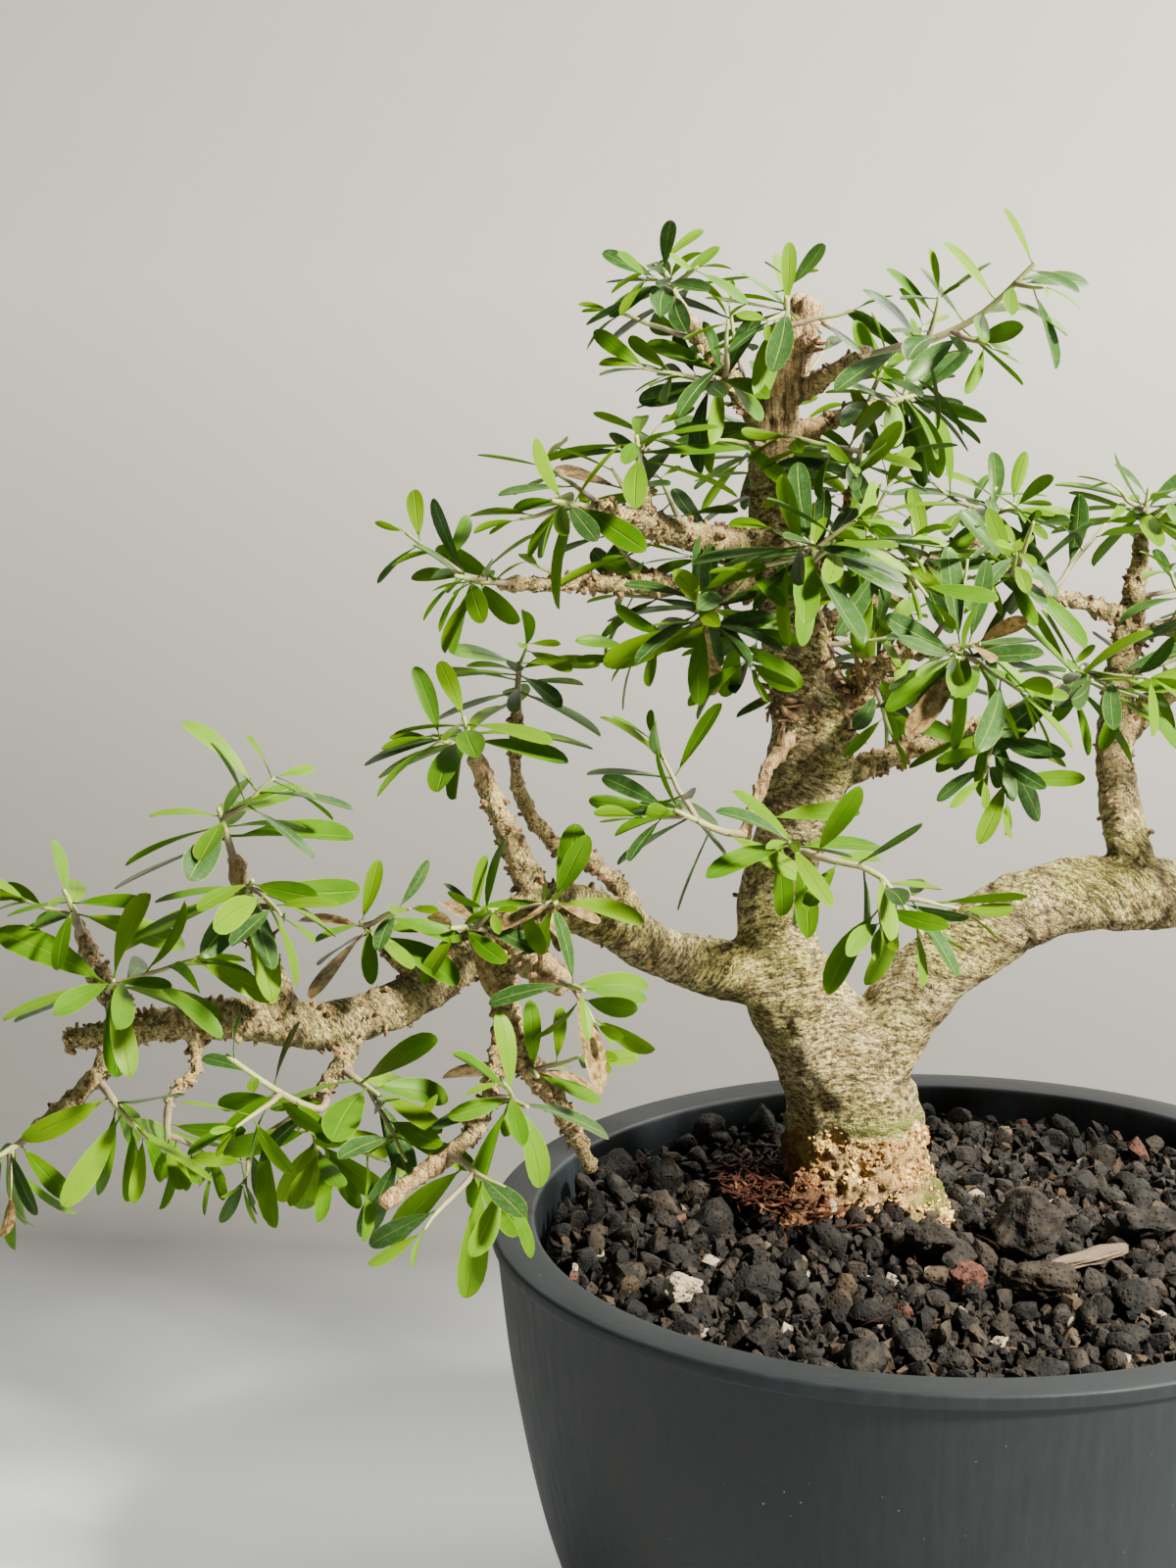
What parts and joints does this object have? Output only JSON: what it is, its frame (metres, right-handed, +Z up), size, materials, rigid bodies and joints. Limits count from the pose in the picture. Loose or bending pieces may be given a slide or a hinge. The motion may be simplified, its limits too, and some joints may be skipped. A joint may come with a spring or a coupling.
{
  "type": "potted bonsai tree",
  "caption": "Bonsai tree with a thick forked trunk, long side limbs and small oblong leaves, growing in black lava grains in a dark grey round bowl.",
  "frame": {"origin": "centre of the flat underside of the pot", "axes": "+Z up out of the pot, +X towards the end of the right limb, +Y to the back"},
  "size_m": [0.3218, 0.2052, 0.3307],
  "materials": {
    "pot": "matt, faintly streaked",
    "screen": "moulded mesh",
    "soil": "rough lava grains",
    "stone": "rough broken stone",
    "bark": "finely ridged bark",
    "chip": "weathered",
    "leaf": "thin glossy leaf"
  },
  "bodies": {
    "root": {"pot": "pot", "drainage_screen_left": "screen", "drainage_screen_right": "screen", "soil": "soil", "trunk_and_branches": "bark", "stone_large": "stone", "stone_slab": "stone", "stone_right": "stone", "stone_brown": "stone", "stone_red": "stone", "stone_pale": "stone", "wood_chip": "chip", "shoot_left_riser_top": "leaf", "shoot_left_riser_low": "leaf", "shoot_left_end_top": "leaf", "shoot_left_end_mid": "leaf", "shoot_left_corner_far": "leaf", "shoot_left_corner_near": "leaf", "shoot_left_twig": "leaf", "shoot_left_drop_end": "leaf", "shoot_left_drop_low": "leaf", "shoot_left_drop_side": "leaf", "shoot_left_green": "leaf", "shoot_left_ridged": "leaf", "shoot_mid_riser": "leaf", "shoot_mid_back": "leaf", "shoot_mid_stub": "leaf", "shoot_mid_drop": "leaf", "shoot_junction_front": "leaf", "shoot_junction_left": "leaf", "shoot_low_twig": "leaf", "shoot_low_pendant": "leaf", "shoot_pale_fork": "leaf", "shoot_front_long": "leaf", "shoot_crown_far_left": "leaf", "shoot_crown_under": "leaf", "shoot_crown_left": "leaf", "shoot_crown_left_rise": "leaf", "shoot_crown_front": "leaf", "shoot_trunk_high": "leaf", "shoot_trunk_mid": "leaf", "shoot_top_left": "leaf", "shoot_top_left_mid": "leaf", "shoot_top_front": "leaf", "shoot_top_right": "leaf", "shoot_crown_right": "leaf", "shoot_right_mid": "leaf", "shoot_right_back": "leaf", "shoot_right_back_low": "leaf", "shoot_right_back_end": "leaf", "shoot_right_low_end": "leaf", "shoot_right_low_mid": "leaf", "shoot_riser_top": "leaf", "shoot_riser_mid": "leaf", "shoot_riser_arm": "leaf", "shoot_right_end_high": "leaf", "shoot_right_end_low": "leaf", "shoot_back_limb": "leaf", "shoot_back_crown": "leaf"}
  },
  "joints": []
}
